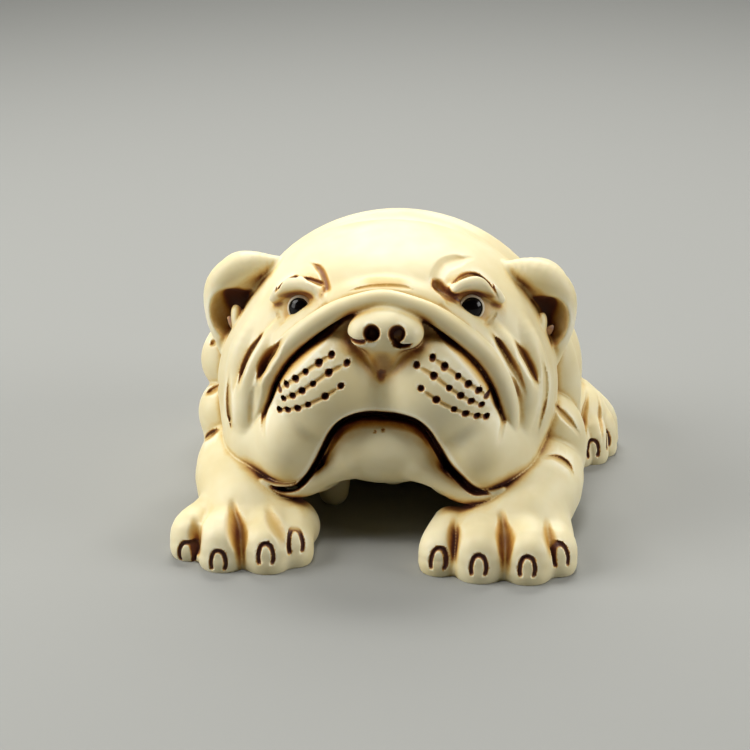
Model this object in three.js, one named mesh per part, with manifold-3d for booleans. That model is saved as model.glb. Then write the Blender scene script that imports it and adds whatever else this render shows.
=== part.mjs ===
// A crouching bulldog figurine: one carved body with two inlaid eyes.
// Each eye is an eyeball bead with a dark pupil pin.
// Millimetres, +Z up. The dog faces -Y and its left side is +X. The origin is on the ground, under the belly.
import * as THREE from "three";
import { mergeVertices } from "three/addons/utils/BufferGeometryUtils.js";
import Module from "manifold-3d";

const wasm = await Module();
wasm.setup();

// Driving dimensions.
const LEFT = 1;
const RIGHT = -1;
const NOSE_ROLL_RADIUS = 1; // the rope of skin that arches over the nose
const CHEEK_FOLD_RADIUS = 1.6;
const MOUTH_GROOVE_RADIUS = 0.6;
const LIP_RADIUS = 0.8;
const NOSTRIL_RADIUS = 0.85;
const EYE = {
  centres: { [LEFT]: [8.45, -9.9, 23.7], [RIGHT]: [-8.65, -9.9, 23.2] },
  ballRadius: 1.4,
  pupilRadius: 1,
  domeRadius: 1.7,
};
const PEG_LENGTH = 1.6; // how deep an eyeball bead sits in its socket
const PIN_LENGTH = 1; // how deep a pupil sits in its eyeball
const GLUE_GAP = 0.08; // all round each inlaid piece

// ---- solids ----

// A closed three.js geometry as a solid that can be joined and cut.
function solidOf(geometry) {
  const bare = geometry.index ? geometry.toNonIndexed() : geometry.clone();
  bare.deleteAttribute("normal");
  bare.deleteAttribute("uv");
  const merged = mergeVertices(bare, 1e-4);
  return new wasm.Manifold(
    new wasm.Mesh({
      numProp: 3,
      vertProperties: merged.getAttribute("position").array,
      triVerts: new Uint32Array(merged.index.array),
    }),
  );
}

// A solid as a three.js geometry.
function geometryOf(solid) {
  const mesh = solid.getMesh();
  const geometry = new THREE.BufferGeometry();
  geometry.setAttribute("position", new THREE.BufferAttribute(mesh.vertProperties, 3));
  geometry.setIndex(new THREE.BufferAttribute(mesh.triVerts, 1));
  geometry.computeVertexNormals();
  return geometry;
}

function join(solids) {
  return solids.reduce((whole, next) => whole.add(next));
}

// An ellipsoid of flesh: its centre, its half sizes, and its turn about X, Y and Z in degrees.
function mass(centre, radii, { segments = 12, turn = [0, 0, 0] } = {}) {
  const geometry = new THREE.SphereGeometry(1, segments, Math.round(segments * 0.6));
  geometry.rotateX(Math.PI / 2);
  geometry.scale(...radii);
  const [x, y, z] = turn.map(THREE.MathUtils.degToRad);
  geometry.applyMatrix4(new THREE.Matrix4().makeRotationFromEuler(new THREE.Euler(x, y, z)));
  geometry.translate(...centre);
  return solidOf(geometry);
}

// A tapered limb with round ends, from one joint to the next.
function limb(from, fromRadius, to, toRadius, segments = 8) {
  const start = new THREE.Vector3(...from);
  const along = new THREE.Vector3(...to).sub(start);
  const length = along.length();
  const quarter = (radius, centre, begin) =>
    [0, 0.5, 1].map((share) => {
      const angle = begin + (share * Math.PI) / 2;
      return new THREE.Vector2(radius * Math.cos(angle), centre + radius * Math.sin(angle));
    });
  const profile = [
    ...quarter(fromRadius, 0, -Math.PI / 2),
    ...quarter(toRadius, length, 0),
  ];
  profile[0].x = 0;
  profile[profile.length - 1].x = 0;
  const geometry = new THREE.LatheGeometry(profile, segments);
  const up = new THREE.Vector3(0, 1, 0);
  geometry.applyQuaternion(new THREE.Quaternion().setFromUnitVectors(up, along.normalize()));
  geometry.translate(start.x, start.y, start.z);
  return solidOf(geometry);
}

// A rope of one radius along a smooth curve through the points, with round ends.
function rope(points, radius, { steps = 14, segments = 6 } = {}) {
  const curve = new THREE.CatmullRomCurve3(points.map((p) => new THREE.Vector3(...p)));
  const section = new THREE.Shape().absarc(0, 0, radius, 0, 2 * Math.PI);
  const tube = new THREE.ExtrudeGeometry(section, {
    steps,
    curveSegments: segments,
    extrudePath: curve,
    bevelEnabled: false,
  });
  const ends = [points[0], points[points.length - 1]];
  return join([solidOf(tube), ...ends.map((end) => mass(end, [radius, radius, radius], { segments: 8 }))]);
}

const mirrored = ([x, y, z]) => [-x, y, z];
const onSide = (side, [x, y, z]) => [side * x, y, z];
const bothSides = (make) => [make(LEFT), make(RIGHT)];

// ---- head ----

function skull() {
  return [
    mass([0, -0.5, 19], [15.6, 11, 10.9], { segments: 18 }),
    mass([0, -5.6, 22.4], [11.8, 7, 6], { segments: 16 }),
    mass([9.5, -4, 13.4], [8.1, 7.7, 10.3], { segments: 14 }),
    mass([-10.2, -4, 12.8], [8.2, 7.7, 10.3], { segments: 14 }),
    mass([11, -7.6, 8.2], [4.9, 6.5, 5.3]),
    mass([-12, -6.8, 8.4], [5.3, 6.7, 5.3]),
    ...bothSides((side) => flew(side, [5.2, -10.6, 15.6], [6.5, 6.1, 6.7], 20)),
    ...bothSides((side) => flew(side, [9.4, -10.6, 9.8], [4.4, 5.8, 5.2], -10)),
  ];
}

function flew(side, centre, radii, lean) {
  return mass(onSide(side, centre), radii, { turn: [0, side * lean, 0] });
}

// The open arch of the mouth, before the lower jaw closes it.
function mouthArch() {
  return [
    ...bothSides((side) => mass(onSide(side, [1.6, -17, 8.2]), [4.2, 9, 5.9])),
    ...bothSides((side) => mass(onSide(side, [5.6, -17, 3]), [4.9, 9, 3.1])),
  ];
}

function jaw() {
  const lip = [
    [5, -13.8, 7.4],
    [8.4, -14.2, 5.6],
    [11.6, -14.3, 5.9],
  ];
  return [
    mass([0, -8.6, 9.6], [8.4, 7, 4.7], { segments: 14 }),
    mass([0, -9.2, 10.2], [6.6, 5.7, 4.5]),
    ...bothSides((side) => mass(onSide(side, [8.6, -9.6, 5.8]), [4.7, 5.3, 2.1])),
    rope([...lip.map(mirrored).reverse(), [0, -13.4, 8.4], ...lip], LIP_RADIUS, { steps: 10 }),
  ];
}

// The groove between the chin and the flews.
function mouthGroove() {
  const half = [
    [3.1, -14.2, 13.4],
    [4.9, -14.2, 11.8],
    [5.8, -14.2, 9.8],
    [7.2, -13.8, 7.6],
    [8.8, -14.2, 6],
  ];
  return rope([...half.map(mirrored).reverse(), [0, -14.2, 14], ...half], MOUTH_GROOVE_RADIUS);
}

function nose() {
  return [
    mass([0.3, -13.8, 22.8], [3, 2.4, 2]),
    mass([2.4, -14, 22.4], [1.7, 2, 1.6], { segments: 8 }),
    mass([-1.8, -14, 22.4], [1.7, 2, 1.6], { segments: 8 }),
    mass([0.1, -13.4, 20.6], [1.6, 2.1, 2.6], { segments: 8 }),
  ];
}

function nostril(side) {
  const hole = new THREE.CylinderGeometry(NOSTRIL_RADIUS, NOSTRIL_RADIUS, 2.4, 10);
  hole.translate(0.3 + side * 1.2, -15.9, 22.6);
  return solidOf(hole);
}

// The thick fold that runs over the nose and down each cheek into the jowl.
function noseRoll() {
  const half = [
    [5.2, -13, 23.7],
    [8, -12.8, 21.7],
    [10.3, -12.4, 19.2],
    [12, -12.1, 16],
    [12.6, -11.8, 12.8],
    [12.3, -11.8, 9.8],
  ];
  return rope([...half.map(mirrored).reverse(), [0, -13.2, 25.5], ...half], NOSE_ROLL_RADIUS, { steps: 18 });
}

function cheekFold(side) {
  const points = [
    [11.4, -9.2, 19.6],
    [13.1, -10, 16.6],
    [13.8, -10.3, 13.6],
    [13.5, -10.4, 10.2],
  ];
  return rope(points.map((p) => onSide(side, p)), CHEEK_FOLD_RADIUS, { steps: 6 });
}

function ear(side) {
  const shift = side === LEFT ? -0.7 : 0; // the left ear sits closer in
  const at = ([x, y, z]) => onSide(side, [x + shift, y, z]);
  const rim = [
    [12.4, -1.4, 25.2],
    [15.6, -2, 25.1],
    [18, -2.3, 23.2],
    [18.2, -2.6, 20],
    [17.5, -3, 17],
  ];
  const flap = join([
    mass(at([15.4, -0.9, 21.8]), [4, 2.7, 4.8], { turn: [0, side * 14, 0] }),
    rope(rim.map(at), 1.3, { steps: 8 }),
  ]);
  return flap.subtract(mass(at([16.5, -4.6, 20.3]), [1.9, 3.6, 2.8], { turn: [0, side * 14, 0] }));
}

// ---- trunk ----

function trunk() {
  return [
    mass([0, 5, 15.8], [14.6, 11.4, 12.4], { segments: 18 }),
    mass([0, 11, 13], [16.8, 14.4, 15.4], { segments: 20 }),
    mass([0, 17, 9.5], [14.4, 10, 11.4], { segments: 16 }),
    mass([0, 6.5, 3.5], [12.8, 14.6, 5], { segments: 16 }),
    ...bothSides((side) => mass(onSide(side, [4.2, -3.2, 5.2]), [3.8, 4.6, 5], { segments: 10 })),
    limb([0, 23.4, 12.5], 2.4, [2, 26.4, 9.8], 1.9),
    limb([2, 26.4, 9.8], 1.9, [4.4, 26.4, 8], 1.2),
  ];
}

// Rounded lobes of skin beside the neck. The left ones hang longer.
function shoulders() {
  return [
    limb([14.8, 1.4, 17.4], 4.6, [15.6, 0.9, 9.6], 4.4),
    limb([14.6, 5.2, 15], 4.4, [15.6, 4.8, 5], 4.6),
    limb([15.6, -2.5, 9.6], 3.6, [16.6, -2.6, 5.6], 3.9),
    limb([-15.2, 0.9, 16.4], 4.6, [-15.8, 0.6, 13], 4.6),
    limb([-15.6, -1.2, 9.6], 4.4, [-16.2, -1.6, 7], 4.5),
  ];
}

// ---- legs ----

// One toe from its knuckle to its tip on the ground.
function toe(knuckle, [x, y, radius]) {
  return limb(knuckle, radius * 0.95, [x, y + radius + 0.3, radius * 0.75], radius, 7);
}

function foreleg(side, tips) {
  return [
    limb(onSide(side, [16.2, -2, 4.4]), 4.4, onSide(side, [15.8, -8, 3.9]), 4.5),
    limb(onSide(side, [15.8, -8, 3.9]), 4.5, onSide(side, [14, -14, 2.8]), 4.1),
    mass(onSide(side, [12.8, -14.8, 1.5]), [6.5, 5.2, 3.8]),
    ...tips.map((tip) => toe([tip[0] * 0.86 + side * 1.7, -14.5, 2.2], tip)),
  ];
}

// Each toe: the x and y of its foremost point, and its radius.
const LEFT_TOES = [
  [6.1, -21.8, 2],
  [10, -22.9, 2.5],
  [14.6, -22.8, 2.4],
  [17.4, -20.9, 2],
];
const RIGHT_TOES = [
  [-18.7, -20.7, 2.1],
  [-15.2, -22.8, 2.4],
  [-10.8, -22.8, 2.3],
  [-8.4, -21.2, 1.9],
];

function haunch(side) {
  return [
    mass(onSide(side, [14.2, 14.4, 9]), [7, 8.8, 9], { segments: 16 }),
    mass(onSide(side, [17, 9.6, 5.6]), [3.9, 4.5, 5.1]),
  ];
}

// The left hind foot is kicked out to the side, and the right one is tucked in.
function hindFeet() {
  const splayed = [
    [20.9, 6.4, 1.6],
    [22.8, 7.6, 1.9],
    [24.2, 9.8, 1.8],
    [24.8, 12.4, 1.6],
  ];
  const tucked = [
    [-20, 6.2, 1.6],
    [-17.8, 5.2, 1.8],
    [-15.4, 5.4, 1.7],
  ];
  return [
    mass([20.4, 12, 3.6], [4.4, 4.4, 4.6]),
    ...splayed.map(([x, y, r]) => toe([x * 0.5 + 8.8, y * 0.3 + 10.1, 5.6], [x, y, r])),
    mass([-17.5, 10, 3], [4, 5, 4]),
    ...tucked.map(([x, y, r]) => toe([x, y + 5, 3], [x, y, r])),
  ];
}

// ---- eyes ----

// The frame of one eye: its own +Y points out of the face.
function eyeFrame(side) {
  const frame = new THREE.Group();
  frame.position.set(...EYE.centres[side]);
  const outward = new THREE.Vector3(side * 0.22, -0.95, 0.2).normalize();
  frame.quaternion.setFromUnitVectors(new THREE.Vector3(0, 1, 0), outward);
  frame.updateMatrixWorld(true);
  return frame;
}

const point = (radius, height) => new THREE.Vector2(radius, height);

// Points over a dome of the eye, from one half-width to another, starting at the given height.
function dome(fromWidth, toWidth, foot, count) {
  const rise = (width) => Math.sqrt(EYE.domeRadius ** 2 - width ** 2);
  return Array.from({ length: count }, (_, i) => {
    const width = fromWidth + ((toWidth - fromWidth) * i) / (count - 1);
    return point(width, foot + rise(width) - rise(fromWidth));
  });
}

function eyeballGeometry() {
  const boreRadius = EYE.pupilRadius + GLUE_GAP;
  return new THREE.LatheGeometry(
    [
      point(0, -PEG_LENGTH),
      point(EYE.ballRadius, -PEG_LENGTH),
      ...dome(EYE.ballRadius, boreRadius, 0, 3),
      point(boreRadius, -PIN_LENGTH),
      point(0, -PIN_LENGTH),
    ],
    24,
  );
}

function pupilGeometry() {
  const floor = -PIN_LENGTH + GLUE_GAP;
  return new THREE.LatheGeometry(
    [point(0, floor), point(EYE.pupilRadius, floor), ...dome(EYE.pupilRadius, 0, 0.35, 6)],
    24,
  );
}

function socket(frame) {
  const depth = PEG_LENGTH + GLUE_GAP;
  const radius = EYE.ballRadius + GLUE_GAP;
  const hole = new THREE.CylinderGeometry(radius, radius, depth + 4, 24);
  hole.translate(0, (4 - depth) / 2, 0);
  hole.applyMatrix4(frame.matrixWorld);
  return solidOf(hole);
}

// ---- assembly ----

function carvedBody(eyeFrames) {
  const head = join([...skull(), noseRoll(), ...nose()]).subtract(join(mouthArch()));
  const flesh = join([
    head,
    ...jaw(),
    ...bothSides(cheekFold),
    ...bothSides(ear),
    ...trunk(),
    ...shoulders(),
    ...foreleg(LEFT, LEFT_TOES),
    ...foreleg(RIGHT, RIGHT_TOES),
    ...bothSides(haunch).flat(),
    ...hindFeet(),
  ]);
  const ground = new THREE.BoxGeometry(80, 80, 20);
  ground.translate(0, 0, -10);
  const cuts = [solidOf(ground), mouthGroove(), ...bothSides(nostril), ...eyeFrames.map(socket)];
  return flesh.subtract(join(cuts));
}

function named(name, geometry, material) {
  const mesh = new THREE.Mesh(geometry, material);
  mesh.name = name;
  return mesh;
}

const ivory = new THREE.MeshStandardMaterial({ color: 0xe9dcae, roughness: 0.42, metalness: 0 });
const paleInlay = new THREE.MeshStandardMaterial({ color: 0xe4dcc4, roughness: 0.3, metalness: 0 });
const darkInlay = new THREE.MeshStandardMaterial({ color: 0x0a0806, roughness: 0.12, metalness: 0 });

const figurine = new THREE.Group();
const eyeFrames = bothSides(eyeFrame);
figurine.add(named("carved_body", geometryOf(carvedBody(eyeFrames)), ivory));
["left", "right"].forEach((word, i) => {
  const frame = eyeFrames[i];
  frame.add(named(`${word}_eyeball`, eyeballGeometry(), paleInlay));
  frame.add(named(`${word}_pupil`, pupilGeometry(), darkInlay));
  figurine.add(frame);
});

export default figurine;
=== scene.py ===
"""A crouching bulldog figurine in a pale ivory-like material, with recesses browned by real staining and by
painted shade, and inlaid eyes.

The figure is worked as clay in millimetres and then meshed in metres.
+Z is up, the dog faces -Y, and its left side is +X.
"""

import math

import bpy
import numpy as np
from concurrent.futures import ThreadPoolExecutor
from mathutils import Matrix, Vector


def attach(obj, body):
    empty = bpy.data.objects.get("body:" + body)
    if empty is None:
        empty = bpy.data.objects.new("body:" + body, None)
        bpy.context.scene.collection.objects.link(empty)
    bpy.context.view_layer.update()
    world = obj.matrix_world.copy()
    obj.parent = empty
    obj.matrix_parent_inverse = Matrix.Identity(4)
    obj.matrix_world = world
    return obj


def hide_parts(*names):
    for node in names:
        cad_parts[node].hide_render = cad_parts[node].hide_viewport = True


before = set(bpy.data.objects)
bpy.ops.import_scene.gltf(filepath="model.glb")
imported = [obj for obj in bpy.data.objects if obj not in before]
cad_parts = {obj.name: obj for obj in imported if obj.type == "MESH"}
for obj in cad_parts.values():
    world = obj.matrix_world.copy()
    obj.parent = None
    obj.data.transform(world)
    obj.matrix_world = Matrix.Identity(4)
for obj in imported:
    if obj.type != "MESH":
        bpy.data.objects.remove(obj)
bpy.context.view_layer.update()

# ---------- Clay ----------
# Solids given by their signed distance in millimetres, blended, cut and engraved like wax.

MM = 0.001  # a millimetre in metres
FAR = 9.0  # the distance given where no shape is near


def smooth_min(a, b, k):
    h = np.clip(0.5 + 0.5 * (b - a) / k, 0.0, 1.0)
    return b + (a - b) * h - k * h * (1.0 - h)


def smooth_step(low, high, x):
    t = np.clip((x - low) / (high - low), 0.0, 1.0)
    return t * t * (3.0 - 2.0 * t)


def rotation(degrees):
    """The matrix of a turn about X, then Y, then Z."""
    a, b, c = np.radians(degrees)
    x = np.array([[1, 0, 0], [0, np.cos(a), -np.sin(a)], [0, np.sin(a), np.cos(a)]])
    y = np.array([[np.cos(b), 0, np.sin(b)], [0, 1, 0], [-np.sin(b), 0, np.cos(b)]])
    z = np.array([[np.cos(c), -np.sin(c), 0], [np.sin(c), np.cos(c), 0], [0, 0, 1]])
    return z @ y @ x


class Zone:
    """The box of the points being asked about, grown by how far away a shape still matters."""

    def __init__(self, points, reach):
        self.low = points.min(0) - reach
        self.high = points.max(0) + reach

    def holds(self, low, high):
        return bool(np.all(low <= self.high) and np.all(high >= self.low))


class Ellipsoid:
    def __init__(self, centre, radii, turn=(0, 0, 0)):
        self.centre = np.array(centre, float)
        self.radii = np.array(radii, float)
        self.turn = rotation(turn)
        half = np.sqrt(((self.turn * self.radii) ** 2).sum(1))
        self.low, self.high = self.centre - half, self.centre + half

    def at(self, points, zone, stain=None):
        q = (points - self.centre) @ self.turn
        near = np.linalg.norm(q / self.radii, axis=1)
        slope = np.linalg.norm(q / self.radii**2, axis=1)
        return near * (near - 1.0) / np.maximum(slope, 1e-6)


def curve(t, a, b, c, d):
    """The points at t from b to c on the smooth curve through a, b, c and d (Catmull-Rom)."""
    bend, twist = 2 * a - 5 * b + 4 * c - d, 3 * b - a - 3 * c + d
    return 0.5 * (2 * b + (c - a) * t + bend * t**2 + twist * t**3)


class Line:
    """A smooth curve through points, as short straight pieces, with a width at each point."""

    def __init__(self, points, widths, steps=5):
        p = np.array(points, float)
        w = np.full(len(p), float(widths)) if np.ndim(widths) == 0 else np.array(widths, float)
        q = np.column_stack([p, w])
        if len(q) > 2:
            q = np.vstack([2 * q[0] - q[1], q, 2 * q[-1] - q[-2]])
            t = np.linspace(0, 1, steps, endpoint=False)[:, None]
            rows = [curve(t, *four) for four in zip(q[:-3], q[1:-2], q[2:-1], q[3:])]
            q = np.vstack([*rows, q[-2]])
        self.start, self.end = q[:-1, :3], q[1:, :3]
        self.start_width, self.end_width = q[:-1, 3], q[1:, 3]
        self.bound(0.0)

    def bound(self, grow):
        """The box of each piece and of the whole line, grown sideways by its width and by more."""
        width = np.maximum(self.start_width, self.end_width)[:, None] + grow
        self.lows = np.minimum(self.start, self.end) - width
        self.highs = np.maximum(self.start, self.end) + width
        self.low, self.high = self.lows.min(0), self.highs.max(0)

    def pieces(self, zone):
        """The pieces that matter in the zone: their number, start, step and widths."""
        near = np.all((self.lows <= zone.high) & (self.highs >= zone.low), axis=1)
        for i in np.flatnonzero(near):
            yield i, self.start[i], self.end[i] - self.start[i], self.start_width[i], self.end_width[i]


class Rope(Line):
    """A round limb or fold of skin along a line, of changing thickness."""

    def at(self, points, zone, stain=None):
        best = np.full(len(points), FAR)
        for _, a, along, ra, rb in self.pieces(zone):
            v = points - a
            t = np.clip(v @ along / max(along @ along, 1e-9), 0.0, 1.0)
            d = np.linalg.norm(v - t[:, None] * along, axis=1) - (ra + (rb - ra) * t)
            np.minimum(best, d, out=best)
        return best


class Groove(Line):
    """A cut of a graver along a line, made looking in one direction. Its depth is added to the distance.

    A flat cut has steep walls and round ends, and any other cut is a valley that fades out at its ends.
    """

    def __init__(self, points, width, depth, look=(0, 1, 0), reach=2.5, taper=0.25, stain=0.0, flat=False):
        super().__init__(points, width)
        self.aim(look, depth, reach, taper, stain, flat)

    def aim(self, look, depth, reach, taper, stain, flat):
        """Takes the direction of the cut and how it is made, and bounds it."""
        look = np.array(look, float)
        self.look = look / np.linalg.norm(look)
        self.depth, self.reach, self.taper, self.stained, self.flat = depth, reach, taper, stain, flat
        self.bound(abs(self.look) * reach)

    def at(self, points, zone, stain=None):
        nearest = np.full(len(points), 4.0)
        place, offset = np.zeros(len(points)), np.zeros(len(points))
        total = len(self.start)
        for i, a, along, ra, rb in self.pieces(zone):
            v = points - a
            depth_along = v @ self.look
            v = v - depth_along[:, None] * self.look
            flat_along = along - (along @ self.look) * self.look
            t = np.clip(v @ flat_along / max(flat_along @ flat_along, 1e-9), 0.0, 1.0)
            d = np.linalg.norm(v - t[:, None] * flat_along, axis=1) / (ra + (rb - ra) * t)
            closer = d < nearest
            nearest = np.where(closer, d, nearest)
            place = np.where(closer, (i + t) / total, place)
            offset = np.where(closer, depth_along - t * (along @ self.look), offset)
        ends = 1.0
        if self.taper:
            ends = np.clip(np.minimum(place, 1.0 - place) / self.taper, 0.0, 1.0)
            ends = np.sqrt(ends * (2.0 - ends) * 0.96 + 0.04) if self.flat else smooth_step(0.0, 1.0, ends)
            nearest = nearest / np.maximum(ends, 0.2 if self.flat else 0.6)
        power = 4 if self.flat else 2
        cut = np.clip(1.0 - nearest**power, 0.0, 1.0) ** 2
        window = 1.0 - smooth_step(0.6 * self.reach, self.reach, np.abs(offset))
        # The mark along a cut darkens its colour: real staining in the cut, and in creases and deep cuts
        # painted shade as well.
        if stain is not None and self.stained:
            edge = smooth_step(0.7, 1.1, nearest) if self.flat else np.clip(nearest, 0.0, 1.0) ** 1.5
            mark = self.stained * window * (1.0 - edge) * ends
            np.maximum(stain, mark, out=stain)
        return self.depth * cut * ends * window


class Pits(Groove):
    """Drilled or punched pits, each of its own width."""

    def __init__(self, points, width, depth, look=(0, 1, 0), reach=2.5, stain=1.0):
        p = np.array(points, float)
        self.start, self.end = p, p
        self.start_width = self.end_width = np.broadcast_to(np.asarray(width, float), (len(p),))
        self.aim(look, depth, reach, 0.0, stain, True)


class DyeAndShade:
    """Colour put into the surface inside a shape: real dye rubbed in, and in hollows, corners and under
    lids also painted shade. It doesn't change the distance.
    """

    def __init__(self, shape, amount, soft=0.5):
        self.shape, self.amount, self.soft = shape, amount, soft
        self.low, self.high = shape.low, shape.high

    def at(self, points, zone, stain=None):
        if stain is not None:
            inside = self.amount * (1.0 - smooth_step(-self.soft, 0.0, self.shape.at(points, zone)))
            np.maximum(stain, inside, out=stain)
        return 0.0


class Clay:
    """Shapes worked together in order. A clay can be added to another one."""

    def __init__(self):
        self.steps = []
        self.low, self.high = np.full(3, np.inf), np.full(3, -np.inf)

    def add(self, shape, blend=0.5):
        self.steps.append(("add", shape, blend))
        self.low, self.high = np.minimum(self.low, shape.low), np.maximum(self.high, shape.high)
        return self

    def cut(self, shape, blend=0.3):
        self.steps.append(("cut", shape, blend))
        return self

    def carve(self, groove):
        self.steps.append(("carve", groove, 0.0))
        return self

    def at(self, points, zone, stain=None):
        d = np.full(len(points), FAR)
        for work, shape, blend in self.steps:
            if not zone.holds(shape.low - blend, shape.high + blend):
                continue
            if work == "carve":
                d = d + shape.at(points, zone, stain)
                continue
            own = None if stain is None else np.zeros(len(points))
            e = shape.at(points, zone, own)
            if stain is not None and work == "add":
                share = np.clip(0.5 + 2.0 * (d - e), 0.0, 1.0)
                stain[:] = stain * (1.0 - share) + own * share
            d = smooth_min(d, e, blend) if work == "add" else -smooth_min(-d, e, blend)
        return d


def evaluate(clay, points, reach=0.5, stained=False):
    """The distance at each point, worked out in boxes so that only near shapes are asked."""
    cell = 6.0
    # One number for the box of each point, with the boxes counted from -64 to 63 along each axis.
    keys = np.floor(points / cell).astype(np.int64) + 64
    key = (keys[:, 0] * 128 + keys[:, 1]) * 128 + keys[:, 2]
    order = np.argsort(key, kind="stable")
    splits = np.flatnonzero(np.diff(key[order])) + 1
    out, stains_and_shade = np.empty(len(points)), np.zeros(len(points))

    def work(rows):
        p = points[rows]
        stain = np.zeros(len(rows)) if stained else None
        out[rows] = clay.at(p, Zone(p, reach), stain)
        if stained:
            stains_and_shade[rows] = stain

    with ThreadPoolExecutor(4) as pool:
        list(pool.map(work, np.split(order, splits)))
    return (out, stains_and_shade) if stained else out


def gradient(clay, points, step=0.05):
    """Distance, unit outward direction and slope at each point."""
    corners = np.array([[1, -1, -1], [-1, -1, 1], [-1, 1, -1], [1, 1, 1]], float)
    around = (points[None] + corners[:, None] * step).reshape(-1, 3)
    d = evaluate(clay, around).reshape(4, -1)
    total = np.einsum("cn,ck->nk", d, corners)
    length = np.maximum(np.linalg.norm(total, axis=1), 1e-9)
    return d.mean(0), total / length[:, None], length / (4 * step)


def scan(clay, low, high, step):
    """The distance on a grid, worked out finely only near the surface."""
    block, chunk = 4, 32
    counts = (np.ceil((high - low) / step / chunk).astype(int)) * chunk
    field = np.empty(counts, np.float32)
    local = np.stack(np.meshgrid(*[np.arange(block)] * 3, indexing="ij"), -1).reshape(-1, 3) * step
    lattice = np.stack(np.meshgrid(*[np.arange(chunk // block)] * 3, indexing="ij"), -1).reshape(-1, 3)
    # Half the diagonal of a block, and a little for cuts, whose distance isn't exact.
    slack = 0.5 * np.sqrt(3) * block * step + 0.4

    def work(corner):
        origin = low + corner * step
        starts = origin + lattice * block * step
        middles = starts + (block - 1) / 2 * step
        rough = clay.at(middles, Zone(middles, slack + 0.2))
        values = np.repeat(rough, block**3)
        near = np.flatnonzero(np.abs(rough) < slack)
        if len(near):
            p = (starts[near][:, None, :] + local[None]).reshape(-1, 3)
            fine = clay.at(p, Zone(p, 1.0))
            values = values.reshape(-1, block**3)
            values[near] = fine.reshape(-1, block**3)
        n = chunk // block
        cube = values.reshape(n, n, n, block, block, block).transpose(0, 3, 1, 4, 2, 5)
        x, y, z = corner
        field[x : x + chunk, y : y + chunk, z : z + chunk] = cube.reshape(chunk, chunk, chunk)

    with ThreadPoolExecutor(4) as pool:
        list(pool.map(work, chunk * np.argwhere(np.ones(counts // chunk))))
    return field


def skin(field, low, step):
    """Vertices and quads of the surface in a grid of distances (surface nets)."""
    inside = field < 0
    shape = np.array(field.shape)
    count = np.zeros(shape - 1, np.uint8)
    offsets = [(x, y, z) for x in (0, 1) for y in (0, 1) for z in (0, 1)]
    for x, y, z in offsets:
        count += inside[x : shape[0] - 1 + x, y : shape[1] - 1 + y, z : shape[2] - 1 + z]
    cells = np.argwhere((count > 0) & (count < 8))
    index = np.full(shape - 1, -1, np.int32)
    index[tuple(cells.T)] = np.arange(len(cells))
    values = np.stack([field[tuple((cells + o).T)] for o in offsets], 1)
    total, hits = np.zeros((len(cells), 3)), np.zeros(len(cells))
    for i, a in enumerate(offsets):
        for j, b in enumerate(offsets):
            if i < j and sum(abs(p - q) for p, q in zip(a, b)) == 1:
                va, vb = values[:, i], values[:, j]
                crossed = (va < 0) != (vb < 0)
                t = np.where(crossed, va / np.where(crossed, va - vb, 1), 0)
                total += crossed[:, None] * (np.array(a) + t[:, None] * (np.array(b) - np.array(a)))
                hits += crossed
    vertices = low + (cells + total / hits[:, None]) * step
    quads = []
    for axis in range(3):
        u, v = [(1, 2), (2, 0), (0, 1)][axis]
        first = [slice(1, -1)] * 3
        second = [slice(1, -1)] * 3
        first[axis], second[axis] = slice(0, -1), slice(1, None)
        a, b = inside[tuple(first)], inside[tuple(second)]
        at = np.argwhere(a != b)
        out = a[tuple(at.T)]
        at[:, u] += 1
        at[:, v] += 1
        corner = []
        for du, dv in ((-1, -1), (0, -1), (0, 0), (-1, 0)):
            c = at.copy()
            c[:, u] += du
            c[:, v] += dv
            corner.append(index[tuple(c.T)])
        quad = np.stack(corner, 1)
        quad[~out] = quad[~out][:, ::-1]
        quads.append(quad)
    return vertices, np.vstack(quads)


# ---------- The figure ----------

SIDES = (1, -1)  # the dog's left is +X
EYES = {1: (8.45, -9.9, 23.7), -1: (-8.65, -9.9, 23.2)}
FRONT = (-0.08, 0.94, -0.34)  # the way the carver looked when cutting the face
NECK_FALL = 12.0  # how far the folds of the neck drop from their top to their middle


def on(side, point):
    """A point of the dog's left, put on either side."""
    x, y, z = point
    return (side * x, y, z)


def add_both(clay, blend, centre, radii, turn=0):
    """Adds the same ellipsoid on both sides, turned about Y."""
    for s in SIDES:
        clay.add(Ellipsoid(on(s, centre), radii, (0, s * turn, 0)), blend)


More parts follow.
